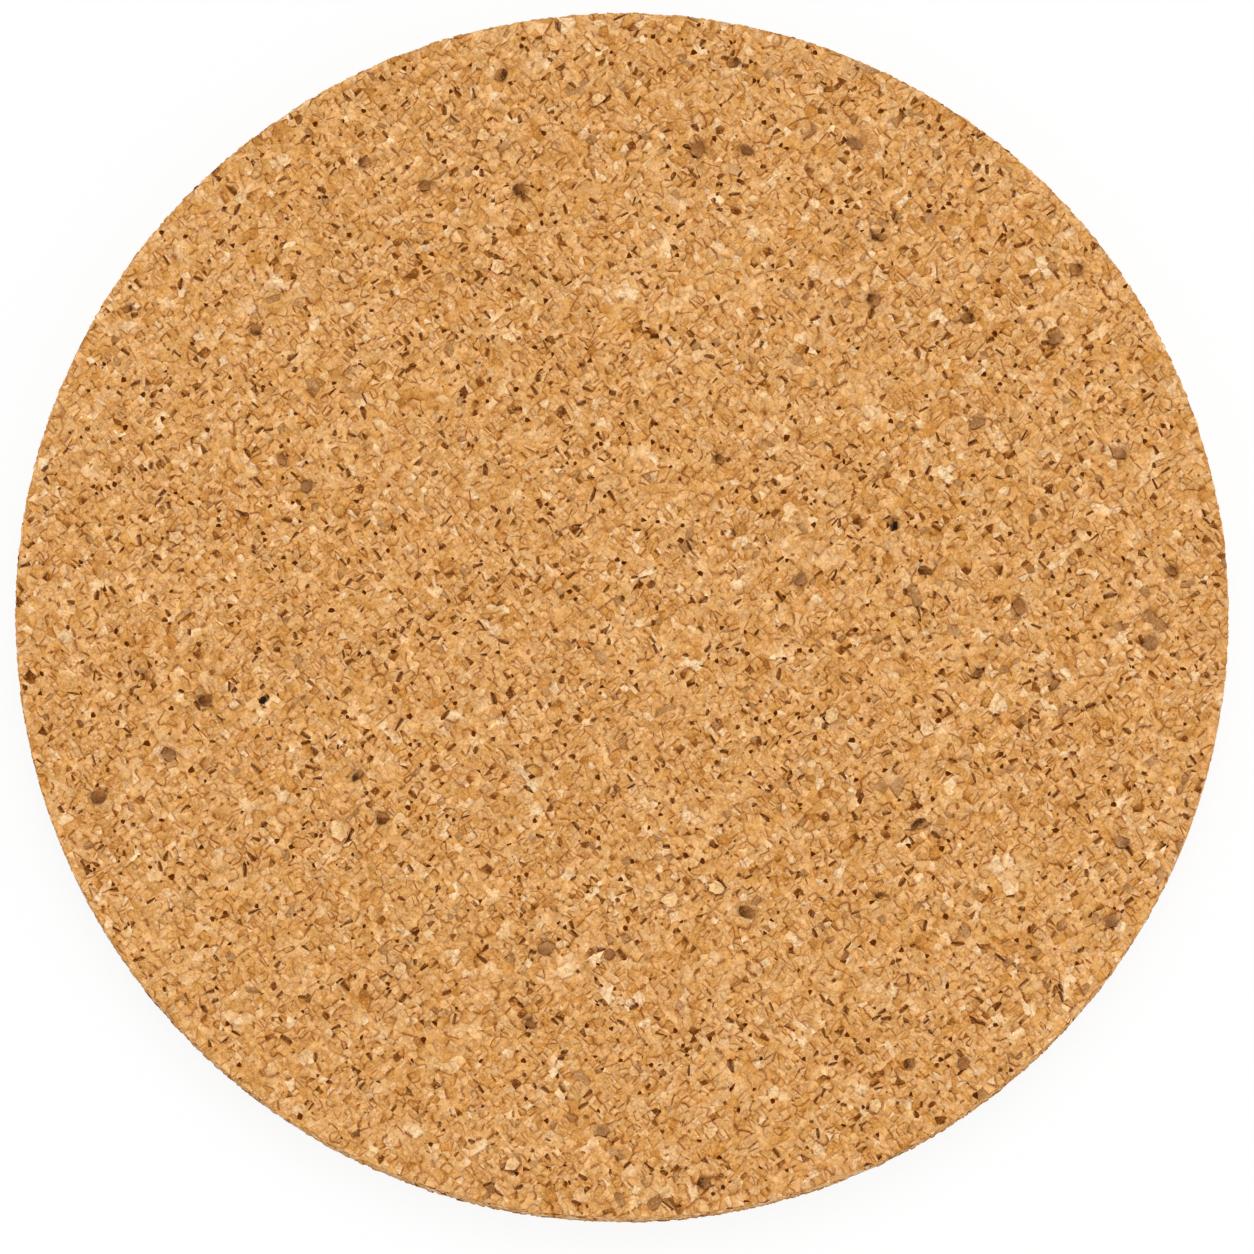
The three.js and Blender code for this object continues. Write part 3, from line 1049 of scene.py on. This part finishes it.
def mottled(nodes, finish, colour, seed, lumps):
    """A colour with lumps, crumbs, broken lines between the crumbs, dark specks, and cream specks that are
    pale flecks and painted glints.
    """
    shade = nodes.span(lumps, LUMP_RANGE, (1 - finish.mottle, 1 + finish.mottle))
    colour = nodes.mix(1.0, colour, shade, "MULTIPLY")
    crumb, gap = nodes.crumbs(CRUMB_MM)
    crumb_shade = nodes.span(crumb, (0.0, 1.0), (1 - CRUMB_MOTTLE, 1 + CRUMB_MOTTLE))
    colour = nodes.mix(1.0, colour, crumb_shade, "MULTIPLY")
    breaks = nodes.span(nodes.noise(seed, *BREAKS), BREAK_RANGE, (0.0, BREAK_MOST))
    colour = nodes.mix(nodes.scaled(nodes.span(gap, CRUMB_GAP), breaks), colour, finish.seam)
    specks = nodes.noise(seed, *SPECKS)
    colour = nodes.mix(nodes.span(specks, DARK_SPECKS, (0.0, SPECK_MOST)), colour, finish.pore)
    # cream specks: pale flecks and painted glints
    return nodes.mix(nodes.span(specks, CREAM_AND_GLINT_SPECKS, (0.0, SPECK_MOST)), colour, finish.cream)


def seamed_and_shaded(nodes, finish, colour, lumps):
    """A colour with the frayed seams, and the darkness at the cracks: painted shade in pores, slots and
    the corners between granules, and grime at the edges.
    """
    frayed = nodes.maths("ADD", nodes.attribute("seam"), nodes.span(lumps, LUMP_RANGE, SEAM_FRAY))
    colour = nodes.mix(nodes.span(frayed, SEAM_RANGE), colour, finish.seam)
    crack = nodes.scaled(nodes.attribute("crack"), nodes.span(lumps, MIDDLE_LUMPS, CRACK_FRAY))
    # painted shade at the cracks, and deeper in pores and slots
    colour = nodes.mix(nodes.span(crack, CRACK_SHADE_RANGE, (0.0, CRACK_SHADE_MOST)), colour, finish.seam)
    return nodes.mix(nodes.span(crack, PORE_RANGE), colour, finish.pore)


def cork_material(name, finish):
    """Dry cork with one finish."""
    nodes = Nodes(name)
    tone, hue = nodes.attribute("tone"), nodes.attribute("hue")
    seed = nodes.scaled(hue, SEED_SPREAD)
    lumps = nodes.noise(seed, *LUMPS)
    colour = granule_colour(nodes, finish, tone, hue)
    colour = mottled(nodes, finish, colour, seed, lumps)
    colour = seamed_and_shaded(nodes, finish, colour, lumps)
    grain = nodes.noise(seed, *GRAIN)
    relief = {"Height": grain, "Strength": GRAIN_STRENGTH, "Distance": GRAIN_HEIGHT * MM}
    inputs = {
        "Base Color": colour,
        "Roughness": nodes.span(lumps, MIDDLE_LUMPS, ROUGHNESS),
        "Specular IOR Level": SPECULAR,
        "Normal": nodes.add("ShaderNodeBump", relief).outputs["Normal"],
    }
    shader = nodes.add("ShaderNodeBsdfPrincipled", inputs)
    nodes.add("ShaderNodeOutputMaterial", {"Surface": shader.outputs["BSDF"]})
    return nodes.material


# Studio

def floor_material():
    """White that glows where it is seen, and is lit a little, so that it keeps a soft shadow."""
    nodes = Nodes("floor_white")
    diffuse = nodes.add("ShaderNodeBsdfDiffuse", {"Color": FLOOR_COLOUR})
    glow = nodes.add("ShaderNodeEmission", {"Color": WHITE, "Strength": 1.0})
    path = nodes.add("ShaderNodeLightPath").outputs
    seen = path["Is Camera Ray"]
    for ray in ("Is Glossy Ray", "Is Transmission Ray"):
        seen = nodes.maths("MAXIMUM", seen, path[ray])
    inputs = {0: nodes.scaled(seen, FLOOR_WHITENESS), 1: diffuse.outputs[0], 2: glow.outputs[0]}
    mixed = nodes.add("ShaderNodeMixShader", inputs)
    nodes.add("ShaderNodeOutputMaterial", {"Surface": mixed.outputs[0]})
    return nodes.material


def build_floor():
    mesh = bpy.data.meshes.new("floor")
    corners = [(x * FLOOR_HALF, y * FLOOR_HALF, 0) for x, y in ((-1, -1), (1, -1), (1, 1), (-1, 1))]
    mesh.from_pydata(corners, [], [(0, 1, 2, 3)])
    mesh.materials.append(floor_material())
    floor = bpy.data.objects.new("floor", mesh)
    floor.location.z = -FLOOR_DROP * MM
    bpy.context.scene.collection.objects.link(floor)


def build_lights():
    """A white room, a broad soft light from the top of the picture and a fill from its lower right."""
    world = bpy.data.worlds.new("studio")
    bpy.context.scene.world = world
    world.use_nodes = True
    background = world.node_tree.nodes["Background"]
    background.inputs["Color"].default_value = WHITE
    background.inputs["Strength"].default_value = ROOM_LIGHT
    for name, energy, spread, direction in STUDIO_LIGHTS:
        lamp = bpy.data.lights.new(name, "SUN")
        lamp.energy = energy
        lamp.angle = math.radians(spread)
        light = bpy.data.objects.new(name, lamp)
        light.rotation_euler = Vector(direction).to_track_quat("-Z", "Y").to_euler()
        bpy.context.scene.collection.objects.link(light)


def build_camera():
    """A camera that frames the disc as the photograph does."""
    data = bpy.data.cameras.new("camera")
    data.sensor_width = SENSOR_MM
    data.lens = SENSOR_MM * CAMERA_DISTANCE / (PHOTO_SIDE_PX / PX_PER_MM * MM)
    data.clip_end = CAMERA_SIGHT
    camera = bpy.data.objects.new("camera", data)
    target = Vector((TARGET[0] * MM, TARGET[1] * MM, THICKNESS * MM))
    back = Vector((0, -math.sin(CAMERA_TILT), math.cos(CAMERA_TILT)))
    camera.location = target + CAMERA_DISTANCE * back
    camera.rotation_euler = (CAMERA_TILT, 0, 0)
    bpy.context.scene.collection.objects.link(camera)
    bpy.context.scene.camera = camera


# Assembly

bpy.context.scene.view_settings.view_transform = "Standard"
rng = np.random.default_rng(SEED)
materials = {slot: cork_material(slot, finish) for slot, finish in FINISHES.items()}
coarse = CoarseGranules(frame["nodes"])
upper = Arris(rng, THICKNESS, 1)
lower = Arris(rng, 0.0, -1)
top_surface = FlatSurface(THICKNESS, 1, upper, coarse.sunk)
under_surface = FlatSurface(0.0, -1, lower, lambda u, v: 0.0)
ground_cork = materials["ground_cork"]
top_face = build_flat_face(rng, "top_face", ground_cork, top_surface)
underside = build_flat_face(rng, "underside", ground_cork, under_surface)
drum = build_drum(rng, "rim_and_drum", ground_cork, RimSurface(upper, lower))
for piece in (top_face, underside, drum):
    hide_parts(GROUND_NODE)

for granule in coarse.all:
    slot = KIND_SLOTS[granule.name.rsplit("_", 1)[0]]
    granule.build(rng, materials[slot])

build_floor()
build_lights()
build_camera()
